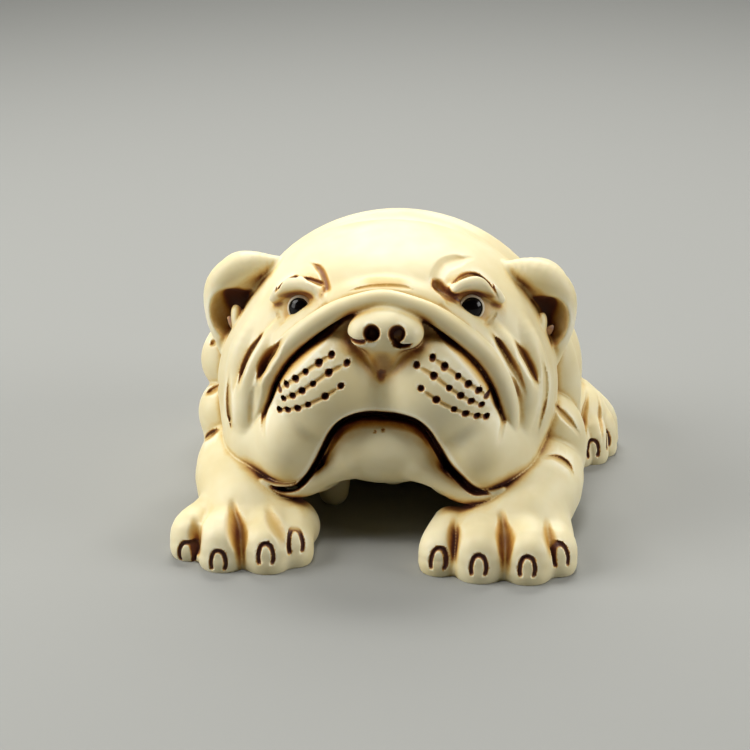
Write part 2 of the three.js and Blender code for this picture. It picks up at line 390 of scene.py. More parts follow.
def trunk():
    """The body with its chest, two folds of the neck, the hollow of the spine, and the tail."""
    body = Clay()
    body.add(Ellipsoid((0, 5, 15.8), (14.2, 11, 12.2)))
    body.add(Ellipsoid((0, 11, 13), (16.4, 14, 15.2)), 3)
    body.add(Ellipsoid((0, 17, 9.5), (14, 9.5, 11)), 3)
    body.add(Ellipsoid((0, 10, 3.6), (12.5, 13, 5)), 2)
    body.add(Rope([(-5.8, -2.4, 6), (-5.9, -3.8, 3.4), (-6, -5, 1.2)], [2.4, 1.8, 1.6]), 1)
    body.add(Ellipsoid((0.4, -4.4, 5.4), (3, 4, 3)), 1)
    angles = [math.radians(a) for a in range(-100, 101, 25)]
    for y, z, thickness, spread in [(7.4, 26.2, 2, 15.2), (11.2, 26.6, 1.7, 15.8)]:
        fold = [
            (spread * math.sin(a), y - 2.5 * (1 - math.cos(a)), z - NECK_FALL + NECK_FALL * math.cos(a))
            for a in angles
        ]
        widths = [thickness * (0.25 + 0.75 * math.cos(0.8 * a) ** 0.5) for a in angles]
        body.add(Rope(fold, widths), 0.7)
    spine = [(0, 12, 28), (0, 18, 25.4), (0, 22.5, 20), (0, 25, 14)]
    body.carve(Groove(spine, [1.6, 2.8, 2.8, 1.8], 0.5, look=(0, -0.7, -0.7)))
    cleft = [(0, 26, 8), (0, 25.5, 5), (0, 24, 2), (0, 22, 0)]
    body.carve(Groove(cleft, [1.4, 1.8, 1.8, 1.6], 0.8, look=(0, -1, 0), reach=4, taper=0.3))
    tail = [(0, 23.4, 12.5), (0.5, 25.6, 11.4), (2.2, 26.9, 9.6), (4.4, 26.4, 8)]
    body.add(Rope(tail, [2.4, 2.3, 1.8, 1.2], steps=14), 0.3)
    # The cut under the tail is darkened by real staining and painted shade.
    under_tail = [(-1.6, 25.6, 12.4), (-1.2, 26.4, 10.6), (0.4, 26.8, 8.6), (2.8, 26.6, 7.2)]
    body.carve(Groove(under_tail, 0.5, 0.6, look=(0, -1, 0), stain=0.3))
    return body


def shoulders():
    """Rounded lobes of skin beside the neck, each with a crisp edge."""
    flank = [(13.5, 6.2, 22), (15.9, 7.2, 17), (16.6, 7.6, 11.5), (15.6, 7.6, 6)]
    edges = [Rope([on(s, p) for p in flank], [0.8, 1.5, 1.6, 0.9], steps=12) for s in SIDES]
    upper_right = [(-15, 3.8, 20.4), (-16.4, 1.8, 17.6), (-17.6, 0.6, 14.4), (-17.4, 0.6, 13)]
    lower_right = [(-15.4, 2.6, 11.4), (-16.8, -0.4, 10.2), (-17.8, -1.6, 9), (-17.4, -1.8, 7.2)]
    lobes = [
        ([(15.2, 4.4, 18), (16.4, 4.4, 14), (17, 4.4, 10), (17.4, 4.2, 5)], [1.8, 2.5, 2.9, 3]),
        ([(15, 1.6, 20), (16.4, 1.2, 15.8), (17.4, 0.6, 11.6), (18.2, 0.2, 8.2)], [1.6, 2.8, 2.8, 1.6]),
        ([(15.4, -2.2, 11.2), (17.2, -2.8, 8.8), (17.6, -2.6, 5.4)], [1.8, 3.1, 3.3]),
        (upper_right, [1.4, 2.4, 3.3, 3.2]),
        (lower_right, [1.8, 2.8, 3.2, 3.3]),
    ]
    return edges + [Rope(points, widths, steps=16) for points, widths in lobes]


def foreleg(side, tips):
    """A foreleg with its paw and a toe at each tip, given by its place and radius."""
    leg = Clay()
    limb = [on(side, p) for p in [(16.2, -2, 4.4), (15.8, -8, 3.9), (14, -14, 2.8)]]
    leg.add(Rope(limb, [4.4, 4.5, 4.1], steps=3))
    leg.add(Ellipsoid(on(side, (12.8, -14.8, 1.5)), (6.5, 5.2, 3.7)), 1.2)
    leg.add(Ellipsoid(on(side, (12.4, -18.2, 1.2)), (5.6, 3.6, 3.1)), 1)
    for x, y, r in tips:
        knuckle = (x * 0.86 + side * 1.7, -14.5, 2.2)
        toe = [knuckle, (x, y + r + 0.8, r + 0.1), (x, y + r + 0.1, 0.9)]
        leg.add(Rope(toe, [r * 0.95, r, r + 0.1], steps=4), 0.7)
    return leg


def toe_cut(points, widths, depth, stain):
    """A cut between two toes, darkened by real staining and painted shade."""
    return Groove(points, widths, depth, look=(0, 0.7, -0.7), taper=0.5, stain=stain)


def right_foreleg():
    leg = foreleg(-1, [(-18.7, -20.7, 2.1), (-15.2, -22.8, 2.4), (-10.8, -22.8, 2.3), (-8.4, -21.2, 1.9)])
    outer = [(-18.4, -18, 4), (-18.1, -19.4, 3.3), (-17.5, -20.6, 1.5), (-17.2, -21, 0.2)]
    middle = [
        (-15, -16.6, 5.4), (-14.5, -18.1, 4.7), (-13.6, -20.4, 3.1), (-13.2, -21, 0.9), (-13.1, -21.4, -1),
    ]
    inner = [(-11.4, -17, 5.2), (-10.7, -18.8, 4.6), (-9.4, -20.9, 3.2), (-8.9, -21.2, 1.6)]
    leg.carve(toe_cut(outer, [0.8, 1, 0.9, 0.7], 0.4, 0.3))
    leg.carve(toe_cut(middle, [0.9, 1.1, 1.2, 1.1, 0.9], 0.85, 0.6))
    leg.carve(toe_cut(inner, [0.7, 0.9, 0.9, 0.7], 0.4, 0.28))
    return leg


def left_foreleg():
    leg = foreleg(1, [(6.1, -21.8, 2), (10, -22.9, 2.5), (14.6, -22.8, 2.4), (17.4, -20.9, 2)])
    inner = [(7.2, -16, 4.6), (7.4, -18.4, 3.6), (7.6, -20.4, 2.2), (7.6, -21, 0.2)]
    middle = [(11.8, -16, 5.2), (12.1, -17.8, 4.4), (12.4, -19.4, 2.8), (12.5, -20.6, 1), (12.6, -21, -1)]
    outer = [(16.3, -16.8, 4.8), (16.5, -18.4, 3.9), (16.7, -20.2, 2.6), (16.8, -20.7, 0.8)]
    leg.carve(toe_cut(inner, [0.8, 1, 0.9, 0.7], 0.4, 0.3))
    leg.carve(toe_cut(middle, [0.9, 1.1, 1.2, 1.1, 0.9], 0.8, 0.55))
    leg.carve(toe_cut(outer, [0.7, 0.9, 0.9, 0.7], 0.4, 0.3))
    return leg


def upper_face():
    """The skull, the cheeks and the flews, with the arch of the mouth cut out of them."""
    skull = Clay()
    skull.add(Ellipsoid((0, -0.5, 19), (15.4, 11, 10.8)))
    skull.add(Ellipsoid((0, -5.6, 22.4), (11.6, 7, 5.9)), 2)
    skull.add(Ellipsoid((9.5, -4, 13.4), (8, 7.6, 10.2)), 2)
    skull.add(Ellipsoid((-10.2, -4, 12.8), (8.1, 7.6, 10.2)), 2)
    skull.add(Ellipsoid((11, -7.6, 8.2), (4.8, 6.4, 5.2), (0, 10, 0)), 1.5)
    skull.add(Ellipsoid((-12, -6.8, 8.4), (5.2, 6.6, 5.2), (0, -8, 0)), 1.5)
    add_both(skull, 1.2, (5.2, -10.6, 15.6), (6.4, 6, 6.6), 20)
    add_both(skull, 1.2, (9.4, -10.6, 9.8), (4.3, 5.7, 5.1), -10)
    skull.add(Ellipsoid((0, -13.1, 15.2), (2.2, 1.8, 3)), 1.2)
    arch = Clay()
    add_both(arch, 0.4, (1.6, -17, 8.2), (4.3, 9, 6))
    add_both(arch, 0.5, (5.6, -17, 3), (5, 9, 3.2))
    skull.cut(arch, 1)
    return skull


def jaw():
    """The chin, with the lower lip rising at its sides."""
    shape = Clay()
    shape.add(Ellipsoid((0, -8.6, 9.6), (8.4, 7, 4.7)))
    shape.add(Ellipsoid((0, -9.2, 10.2), (6.6, 5.7, 4.5)), 1)
    lip = [
        (3.6, -14, 8.1), (5, -14.2, 7.4), (6.4, -14.4, 6.6), (7.8, -14.6, 5.8),
        (9.2, -14.8, 5.5), (10.6, -14.8, 5.7), (12, -14.6, 6.2),
    ]
    for s in SIDES:
        shape.add(Ellipsoid(on(s, (8.6, -9.6, 5.8)), (4.6, 5.2, 2)), 0.8)
        shape.add(Rope([on(s, p) for p in lip], [1.3, 1.1, 0.9, 0.75, 0.64, 0.55, 0.45]), 1.2)
    return shape


def ear(side, shift):
    """The flap of one ear, with its hollow, and the small lobe in front of it."""
    tilt = (0, side * 14, 0)

    def place(x, y, z):
        return (side * (x + shift), y, z)

    flap = Clay()
    flap.add(Ellipsoid(place(15.6, -0.2, 22.4), (3.6, 2.6, 3.9), tilt))
    rim = [(12.4, -1.4, 25.2), (15.6, -2, 25.1), (18, -2.3, 23.2), (18.3, -2.6, 20), (17.6, -3, 16.4)]
    flap.add(Rope([place(*p) for p in rim], [1, 1.6, 1.6, 1.4, 0.8]), 0.8)
    hollow = Clay()
    hollow.add(Ellipsoid(place(16.7, -4.6, 20.4), (2.3, 3.6, 2.9), tilt))
    hollow.add(Ellipsoid(place(15, -4.6, 21.6), (1.6, 3, 1.6), (0, side * -20, 0)), 0.6)
    flap.cut(hollow, 0.3)
    # The hollow under the flap is darkened: real dye and painted shade.
    flap.carve(DyeAndShade(Ellipsoid(place(16.2, -2.5, 20.6), (2.1, 2.3, 3.1), tilt), 1, soft=0.7))
    tragus = Ellipsoid(place(15.9, -3.4, 19.2), (0.8, 1.4, 2.2), tilt)
    return flap, tragus


def by_eye(side, *offsets):
    """Points given from the middle of an eye: outwards, back and up."""
    ex, ey, ez = EYES[side]
    return [(ex + side * x, ey + y, ez + z) for x, y, z in offsets]


def sockets(skull):
    """Each upper lid, the hollow and two corners of the eye under it, and the lower lid's crease."""
    lid = [(-2.5, -0.9, 1.1), (-1, -0.4, 2.3), (0.6, 0.4, 2.4), (2, 1.1, 1.4), (2.8, 1.6, 0.5)]
    under = [(2.7, 0.6, 0.1), (2.1, 0.2, -1), (1.2, -0.4, -1.75), (0.2, -0.8, -2), (-0.9, -1, -1.9)]
    for s in SIDES:
        skull.add(Rope(by_eye(s, *lid), [0.55, 0.8, 0.8, 0.7, 0.5]), 0.8)
        skull.cut(Ellipsoid(*by_eye(s, (0, -2, 0.2)), (2.25, 2.5, 2.15), (0, s * 8, 0)), 0.45)
        outer_corner = by_eye(s, (1.2, -1.6, 0.1), (2.3, -0.2, -0.2), (3.3, 1.6, -0.7))
        skull.cut(Rope(outer_corner, [1.3, 0.9, 0.25]), 0.3)
        inner_corner = by_eye(s, (-1.2, -1.9, 0.6), (-2.1, -1.7, 0.8), (-2.9, -1.3, 1))
        skull.cut(Rope(inner_corner, [0.8, 0.8, 0.5]), 0.3)
        # Darkening under the upper lid, round the bead and in both corners of the eye: partly real dye,
        # partly painted shade.
        for centre, radii, turn, amount, soft in [
            ((-2.1, -0.6, 0.9), (1.5, 1.8, 0.8), 12, 0.95, 0.7),
            ((2.6, 0.8, -0.2), (1.3, 1.8, 0.7), 25, 0.6, 0.7),
            ((0, 0, 1.3), (2.8, 2, 1), 8, 0.6, 0.8),
            ((0, 0, 0), (3.1, 2, 2.1), 8, 0.4, 1.1),
        ]:
            skull.carve(DyeAndShade(Ellipsoid(*by_eye(s, centre), radii, (0, s * turn, 0)), amount, soft))
        skull.carve(Groove(by_eye(s, *under), 0.5, 0.3, look=FRONT, taper=0.4, stain=0.15))


def crease(skull, widths, depth, stain, *points):
    """A cut made looking at the face from the front."""
    skull.carve(Groove(points, widths, depth, look=FRONT, stain=stain))


def right_eye(skull):
    """The creases and the darkened inner corner of the right brow, partly real dye and partly painted
    shade.
    """
    crease(
        skull, [0.3, 0.36, 0.4, 0.4, 0.3], 0.45, 0.3,
        (-11.5, -7.6, 23.7), (-10.9, -7.4, 24.5), (-10, -7.4, 25.2), (-9.2, -7.8, 25.7),
        (-8.8, -8, 25.8),
    )
    crease(
        skull, [0.3, 0.36, 0.38, 0.36], 0.42, 0.35,
        (-8.6, -8.1, 25.9), (-7.5, -9.2, 25.9), (-6.6, -9.8, 25.8), (-6, -10, 25.6),
    )
    crease(
        skull, [0.4, 0.45, 0.5, 0.5, 0.5, 0.6, 0.6], 0.35, 0.6,
        (-8.3, -6.4, 27), (-7.3, -7.1, 26.8), (-6.6, -8.3, 26.6), (-6.2, -9.2, 26.2),
        (-5.9, -9.9, 25.6), (-5.7, -10.6, 24.9), (-5.5, -11.2, 24.2),
    )
    skull.carve(DyeAndShade(Ellipsoid((-6.2, -10.2, 24.7), (0.8, 1.8, 1.2)), 0.7, soft=0.7))


def left_eye(skull):
    """The creases and the darkened inner corner of the left brow, partly real dye and partly painted shade.
    """
    crease(
        skull, [0.34, 0.4, 0.44, 0.42, 0.38, 0.34, 0.3], 0.48, 0.35,
        (6.3, -9.9, 25.6), (7.1, -8.9, 26.3), (8, -8, 26.5), (8.9, -7.5, 26.3), (9.8, -7.5, 25.6),
        (10.4, -7.6, 24.9), (11.1, -8.2, 23.9),
    )
    crease(
        skull, [0.5, 0.8, 0.9, 0.9, 0.8, 0.6], 0.28, 0.05,
        (8.7, -4.4, 27.3), (7.1, -5.8, 27.4), (5.8, -7, 27.3), (5.2, -8.2, 26.9), (4.9, -9.3, 26.3),
        (5, -10, 25.6),
    )
    corner = [(5, -9.8, 26.1), (5.2, -10.4, 25.5), (5.8, -10.8, 24.9), (6.9, -10.8, 24.6)]
    skull.cut(Rope(corner, [0.45, 0.8, 0.95, 0.6]), 0.4)
    skull.carve(DyeAndShade(Rope(corner, [0.9, 1.2, 1.3, 1]), 0.92, soft=0.9))


def nose():
    """The nose, with drilled nostrils and a cut round each wing."""
    shape = Clay()
    shape.add(Ellipsoid((0.3, -13.8, 22.8), (2.9, 2.4, 2)))
    for s in SIDES:
        shape.add(Ellipsoid((0.3 + 2.1 * s, -14, 22.4), (1.6, 2, 1.6)), 0.6)
    shape.add(Ellipsoid((0.1, -13, 20.4), (1.7, 1.8, 2.6)), 1.6)
    shape.carve(Pits([(-0.9, -15.9, 22.8), (1.5, -15.9, 22.8)], 0.9, 1.8, look=(0, 1, -0.3)))
    left_wing = [(0.9, -15.8, 22.1), (1.6, -15.8, 21.5), (2.3, -15.8, 21.4), (3.1, -15.6, 21.8)]
    shape.carve(Groove(left_wing, [0.5, 0.45, 0.4, 0.25], 0.9, stain=0.95))
    right_wing = [(-1.3, -15.8, 22.1), (-1.9, -15.8, 21.8), (-2.8, -15.6, 21.8), (-3.6, -15.2, 22.2)]
    shape.carve(Groove(right_wing, [0.4, 0.4, 0.35, 0.25], 0.7, stain=0.6))
    return shape


def nose_roll():
    """The thick fold of skin that arches over the nose, and the bank of skin behind it."""
    half = [
        (2.8, -13.2, 24.9), (5.2, -13, 23.75), (8, -12.8, 21.65), (10.3, -12.4, 19.2),
        (12, -12.1, 16), (12.6, -11.8, 12.8), (12.3, -11.8, 9.8),
    ]
    points = [on(-1, p) for p in reversed(half)] + [(0, -13.2, 25.5)] + half
    behind = [(0.98 * x, y + 2.2, z - 0.2) for x, y, z in points]
    rising = [0.5, 0.9, 1, 1.1, 1.05, 0.95, 0.85]
    widths = rising + [0.85] + rising[::-1]
    return Rope(points, widths), Rope(behind, [1.7 * w for w in widths])


WHISKERS = [  # the rows of the left cheek, from the top one down
    [
        (4.9, -14.8, 20.1), (6.1, -15.3, 19.4), (7.4, -15.5, 18.5),
        (8.4, -15.4, 17.7), (9.4, -15, 16.9), (10.2, -14.5, 16.1),
    ],
    [
        (3.4, -15, 19.4), (5.1, -15.8, 18.6), (6.6, -16.1, 17.5),
        (7.7, -15.9, 16.7), (8.7, -15.6, 16), (9.7, -15, 15.4),
    ],
    [
        (3.9, -16.1, 17.4), (5.4, -16.4, 16.4), (7.1, -16.3, 15.4),
        (8.2, -15.9, 14.8), (9.3, -15.2, 14.3), (10.2, -14.2, 14),
    ],
]


def cheeks(skull):
    """Long folds of skin outside the nose roll, and the valleys between them."""

    def fold(widths, *points):
        skull.add(Rope(points, widths), 0.4)

    def valley(widths, depth, stain, *points):
        # Each valley is cut, with a little real staining and painted shade put in it.
        cut = Groove(points, widths, depth, look=FRONT, reach=3.5, taper=0.4, stain=stain)
        skull.carve(cut)

    # The folds of the right cheek, from the nose roll outwards.
    fold(
        [0.5, 1.4, 1.6, 1.7, 1.7, 1],
        (-9.6, -8.2, 22.4), (-11.6, -9.8, 19.3), (-13, -10.6, 16.9), (-13.6, -10.7, 14.3),
        (-13.8, -10.8, 11.8), (-13.2, -10.6, 8.8),
    )
    fold(
        [0.5, 1.5, 1.7, 1.7, 0.8],
        (-11.8, -5.2, 22.6), (-14.3, -7.2, 18.6), (-15, -8.3, 15.1), (-14.9, -9.6, 12),
        (-14.1, -10, 8.8),
    )
    fold(
        [0.5, 1.5, 1.6, 1.4, 0.6],
        (-14.6, -5.6, 18.6), (-16, -6.2, 13.9), (-16, -6.9, 11.3), (-15.4, -8.3, 9.2),
        (-14, -9, 6.8),
    )
    # The folds of the left cheek.
    fold(
        [0.3, 0.8, 1.1, 1.3, 1.4, 1.5, 1.5, 1],
        (9, -8, 23.4), (10.4, -8.9, 21.4), (11.4, -9.3, 20.1), (12.5, -9.6, 18.6), (13.3, -9.8, 17.1),
        (13.8, -9.9, 15.6), (13.9, -10, 14), (13.5, -10.2, 10.6),
    )
    fold(
        [0.5, 1.5, 1.7, 1.7, 0.9],
        (11.6, -5, 22.8), (13.7, -6.8, 19.6), (14.7, -7.9, 16.6), (14.7, -8.5, 14.2),
        (14.1, -9.5, 10.8),
    )
    fold(
        [0.5, 1.4, 1.6, 1.6, 1.4, 0.8],
        (14, -4.6, 20.4), (15.3, -6, 16.6), (15.4, -7, 14.3), (15.1, -7.8, 11.7), (14.2, -9, 9.2),
        (13, -9.6, 7),
    )
    # The valleys of the right cheek.
    valley(
        [0.5, 0.75, 0.85, 0.8, 0.7], 0.75, 0.3,
        (-9.3, -12, 21.6), (-10.5, -12.3, 19.9), (-11.7, -12.2, 18.3), (-12.3, -12.2, 16.9),
        (-12.7, -12.2, 15.4),
    )
    valley(
        [0.6, 0.7, 0.7, 0.7], 0.2, 0,
        (-12.3, -12, 16.9), (-12.8, -12, 15.1), (-13.3, -12.2, 13.2), (-13.6, -12.2, 11.2),
    )
    valley(
        [0.4, 0.5, 0.5, 0.5, 0.5, 0.5], 0.5, 0.1,
        (-12.2, -9.7, 20.7), (-12.7, -10, 20), (-13.6, -10.5, 18.7), (-14.2, -11.2, 17.4),
        (-14.6, -11.4, 15.8), (-14.8, -11.7, 14.6),
    )
    valley(
        [0.35, 0.4, 0.4, 0.4, 0.4], 0.35, 0.1,
        (-16.1, -8.8, 16.4), (-16.1, -9.8, 14.5), (-16, -10.4, 12.4), (-15.9, -10.1, 10.8),
        (-15.7, -10.3, 9.4),
    )
    # The valleys of the left cheek.
    valley(
        [0.45, 0.5, 0.55, 0.6, 0.6, 0.6, 0.6], 0.55, 0.1,
        (9.9, -9.7, 21.6), (10.6, -9.7, 20.7), (11.1, -9.6, 20), (11.7, -9.9, 19.2),
        (12.9, -10.3, 17.5), (13.6, -10.6, 16), (14.2, -11.2, 14.3),
    )
    valley(
        [0.5, 0.65, 0.75, 0.7, 0.7, 0.6], 0.5, 0.1,
        (12.4, -8.6, 20.4), (13, -8.6, 19.4), (13.6, -8.6, 18.4), (14.4, -8.9, 17.1),
        (14.9, -9.3, 16), (15.2, -9.6, 15),
    )
    valley(
        [0.4, 0.45, 0.45, 0.45, 0.45, 0.45], 0.3, 0,
        (15.5, -8.1, 18.6), (15.8, -8.6, 17.4), (16, -9, 16), (16, -9.3, 14.1), (15.6, -9.3, 11.7),
        (15.2, -10, 10.2),
    )
    skull.carve(Pits([(-14.2, -12.6, 6.2)], 0.7, 0.9, look=(0.4, 0.9, -0.2), stain=0.8))


def mouth(skull):
    """The chin, the cut between it and the flews, and the brown beside it under the flews, partly real dye
    and partly painted shade.
    """
    skull.add(jaw(), 0.15)
    line = [
        (-11.6, -15.2, 6.2), (-10.1, -14.5, 5.5), (-8.8, -13, 5.2), (-7.7, -12.6, 6.2), (-6.8, -12.4, 7.8),
        (-6, -12.6, 9.5), (-5.2, -12.8, 11.2), (-4.1, -13, 12.4), (-2.6, -13.2, 13.1), (-0.8, -13.4, 13.4),
        (1.2, -13.5, 13.3), (3.1, -13.3, 12.8), (4.4, -13.4, 11.8), (5.3, -13.6, 10.4),
        (6.4, -12.8, 8.2), (7.6, -12.4, 6.7), (9.1, -12.8, 5.5), (11.3, -15.2, 6.1),
    ]
    widths = [
        0.25, 0.35, 0.42, 0.4, 0.36, 0.36, 0.42, 0.5, 0.55,
        0.58, 0.55, 0.5, 0.46, 0.44, 0.48, 0.55, 0.5, 0.25,
    ]
    skull.carve(Groove(line, widths, 1.2, look=FRONT, reach=5, taper=0.06, stain=0.85))
    inner = [(0.94 * x, y, z - 0.35) for x, y, z in line[3:-3]]
    wider = [1.8 * w for w in widths[3:-3]]
    skull.carve(Groove(inner, wider, 0.5, look=FRONT, reach=5, taper=0.3, stain=0.45))
    # Brown below each corner of the mouth: real dye and painted shade under the flews.
    beside = [(4.4, -14, 11), (5.3, -13.6, 8.8), (6.2, -13.4, 6.9), (7.6, -14, 5.2)]
    for s in SIDES:
        skull.carve(DyeAndShade(Rope([on(s, p) for p in beside], [1.2, 1.5, 1.5, 1.2]), 0.42, soft=1.5))


def under_roll(skull):
    """The deep cuts between the nose roll and the flews, darkened by real staining and painted shade."""
    right = [
        (-0.8, -13.8, 24.6), (-2.8, -13.6, 23.7), (-4.8, -13.6, 22.7), (-7.2, -13.4, 20.9),
        (-9.2, -13.2, 18.9), (-10.7, -12.9, 16.8), (-11.6, -12.7, 14.6), (-12, -12.5, 12.6),
        (-11.6, -13, 10.9),
    ]
    left = [
        (1.6, -13.8, 24.5), (3.4, -13.6, 23.5), (5.7, -13.4, 22.4), (7.8, -13.5, 20.9), (9.5, -13.4, 19),
        (10.7, -12.9, 17), (11.4, -12.5, 15), (11.9, -12.4, 13.2), (11.4, -13, 11.2),
    ]
    widths = [0.6, 0.7, 0.85, 0.95, 0.95, 0.85, 0.7, 0.6, 0.5]
    for points in (right, left):
        skull.carve(Groove(points, widths, 1.5, reach=4, taper=0.35, stain=0.65))


def forehead(skull):
    """The crease above the nose roll, and the brown round it, partly real dye and partly painted shade in
    the crease.
    """
    crease = [
        (-3.7, -12.4, 25.8), (-2.7, -12.4, 26.1), (-1.3, -12.4, 26.4),
        (0.6, -12.4, 26.5), (2.2, -12.4, 26.4), (3.3, -12.4, 26),
    ]
    skull.carve(Groove(crease, [0.15, 0.2, 0.25, 0.3, 0.3, 0.2], 0.15, look=FRONT, reach=4, stain=0.28))
    skull.carve(DyeAndShade(Ellipsoid((-0.1, -12.2, 26.7), (3.8, 2.4, 0.8)), 0.3, soft=0.9))


def philtrum(skull):
    """The brown in the hollow under the nose, partly real dye and partly painted shade, darkest at the foot
    of its V.
    """
    for s in SIDES:
        arm = [(0.2 + 2.7 * s, -14.4, 20.6), (0.1 + 1.5 * s, -14.6, 19), (-0.2, -14.6, 17.4)]
        skull.carve(DyeAndShade(Rope(arm, [0.8, 0.9, 0.6]), 0.5, soft=0.9))
    skull.carve(DyeAndShade(Ellipsoid((-0.1, -14.8, 18.1), (0.9, 1.6, 1.1)), 0.85, soft=0.8))
    skull.carve(DyeAndShade(Ellipsoid((0, -15, 19.1), (2.1, 2.5, 2.3)), 0.48, soft=1.4))


def whiskers(skull):
    """Rows of drilled pits joined by thin cuts, and two small pits on the chin."""
    for s in SIDES:
        for row in WHISKERS:
            points = [on(s, p) for p in row]
            skull.carve(Groove(points, 0.28, 0.2, stain=0.42, taper=0.1))
            skull.carve(Pits(points, [0.36, 0.42, 0.34, 0.4, 0.37, 0.34], 0.6))
    skull.carve(Pits([(0.1, -16, 12.3), (-0.7, -16, 12.1)], [0.2, 0.12], 0.15, stain=0.6))


def face():
    """The whole head. Later parts lie over earlier ones."""
    skull = upper_face()
    for s, shift in ((1, -0.7), (-1, 0)):
        flap, tragus = ear(s, shift)
        skull.add(flap, 0.45).add(tragus, 0.2)
    sockets(skull)
    right_eye(skull)
    left_eye(skull)
    roll, backing = nose_roll()
    skull.add(backing, 1)
    under_roll(skull)
    skull.add(roll, 0.25)
    forehead(skull)
    cheeks(skull)
    skull.add(nose(), 0.7)
    philtrum(skull)
    warm_patch = Ellipsoid((-0.5, -11.5, 27.2), (4, 3, 2))
    skull.carve(DyeAndShade(warm_patch, 0.1, soft=1.8))
    mouth(skull)
    whiskers(skull)
    return skull


def hind_legs():
    """The haunches, the splayed left hind foot and the tucked right one."""
    parts = []
    for s in SIDES:
        leg = Clay()
        leg.add(Ellipsoid(on(s, (14.2, 14.4, 9)), (6.8, 8.6, 8.8)))
        leg.add(Ellipsoid(on(s, (17, 9.6, 5.6)), (3.8, 4.4, 5)), 1.5)
        parts.append(leg)
    foot = Clay()
    foot.add(Ellipsoid((20, 12, 3.6), (4.2, 4.4, 4.5)))
    for x, y, r in [(20.7, 6.4, 1.6), (22.4, 7.6, 1.8), (23.6, 9.8, 1.7), (24, 12.4, 1.6)]:
        knuckle = (19.2 + (x - 20.9) * 0.5, 12 + (y - 6.3) * 0.3, 6.4)
        toe = [knuckle, (x - 0.5, y + 1.6, 3.6), (x, y + 1.2, 0.8)]
        foot.add(Rope(toe, [1.6, r, r], steps=4), 0.2)
    parts.append(foot)
    tucked = Clay()
    tucked.add(Ellipsoid((-17.5, 10, 3), (4, 5, 4)))
    for x, y, r in [(-20, 6.2, 1.6), (-17.8, 5.2, 1.8), (-15.4, 5.4, 1.7)]:
        tucked.add(Rope([(x, y + 5, 3.4), (x, y + 1.6, 2), (x, y + 1.5, 0.8)], [1.6, r, r], steps=4), 0.3)
    parts.append(tucked)
    return parts


def nail(x, y, z, heading):
    """The horseshoe cut round one claw."""
    h = math.radians(heading)
    across, ahead = np.array([math.cos(h), math.sin(h), 0]), np.array([math.sin(h), -math.cos(h), 0])
    outline = [(-0.62, -1), (-0.72, -0.2), (-0.5, 0.75), (0, 1.05), (0.5, 0.75), (0.72, -0.2), (0.55, -1)]
    points = [np.array([x, y, z + v]) + across * u for u, v in outline]
    return Groove(points, 0.23, 0.33, look=-ahead, reach=1.6, taper=0.06, stain=1, flat=True)


def creases(dog):
    """The creases of the shoulders and haunches, and the cuts between the hind toes, each darkened a little
    by real staining and painted shade.
    """
    for points, look in [
        # The shoulders.
        ([(17, -6, 12.8), (17.8, -5, 11.2), (19, -4.6, 9.7), (20.2, -4, 7.8)], FRONT),
        ([(15.6, -10.2, 8), (17.4, -9.5, 7.8), (18.8, -9.6, 6.9), (19.3, -10.2, 5.6)], FRONT),
        ([(-17.4, -5.5, 13.8), (-18.6, -4, 12.2), (-19.6, -2.9, 11.2), (-20.4, -2.5, 10.6)], FRONT),
        ([(-17.6, -5.8, 8.3), (-18.6, -5.8, 7.8), (-19.6, -5.6, 7), (-20.4, -5, 6)], FRONT),
        ([(-19.7, -1.4, 15.9), (-19.2, -1.5, 16.4), (-18.6, -2.6, 17)], FRONT),
        # The toes of the left hind foot, then of the right one.
        ([(21.8, 11, 8), (21.5, 8.9, 6.6), (21.4, 7.2, 4.8), (21.6, 6.6, 2.5)], (-0.5, 0.8, -0.3)),
        ([(22.9, 11.4, 7.4), (23.2, 9.5, 5.8), (23.2, 8.2, 4.1), (23.2, 7.6, 2)], (-0.5, 0.8, -0.3)),
        ([(-18.9, 7, 6), (-19, 5.6, 4), (-19, 4.6, 2)], (0.1, 0.9, -0.4)),
        ([(-16.6, 6.6, 6), (-16.6, 5, 4), (-16.6, 4, 2)], (0.1, 0.9, -0.4)),
    ]:
        dog.carve(Groove(points, 0.5, 0.45, look=look, taper=0.45, stain=0.2))
    for s in SIDES:
        haunch = [(15.8, 6.8, 12), (15.9, 8, 14.4), (16, 9.8, 16.2), (15.1, 14.4, 17.7), (14.2, 18.4, 16.8)]
        dog.carve(Groove([on(s, p) for p in haunch], 0.7, 0.3, look=(-s, 0, -0.3), taper=0.4, stain=0.15))


def claws(dog):
    """A cut at each claw, from its place and the way that its toe points."""
    for x, y, z, heading in [
        (-18.9, -20.6, 1, -25), (-15.3, -22.8, 1.3, -5), (-10.6, -22.7, 2.1, 5), (-7.9, -20.8, 2.6, 15),
        (6, -21.7, 1.8, -10), (9.95, -22.9, 1.9, 0), (14.6, -22.8, 1.9, 3), (17.9, -20.6, 2.2, 25),
        (22.3, 6.9, 2, 30), (24.3, 8.8, 2.4, 60),
    ]:
        dog.carve(nail(x, y, z, heading))


def figure():
    """The whole dog but its eyes."""
    dog = Clay()
    dog.add(trunk())
    for part in hind_legs():
        dog.add(part, 0.4)
    for part in shoulders():
        dog.add(part, 0.3)
    for part in (left_foreleg(), right_foreleg()):
        dog.add(part, 0.4)
    dog.add(face(), 0.2)
    creases(dog)
    claws(dog)
    return dog


# ---------- From clay to a mesh ----------

STEP = 0.17  # the size of a grid cell in millimetres
MOST_FACES = 190000
MOST_SHIFT = 0.15  # how far settling moves a vertex at most


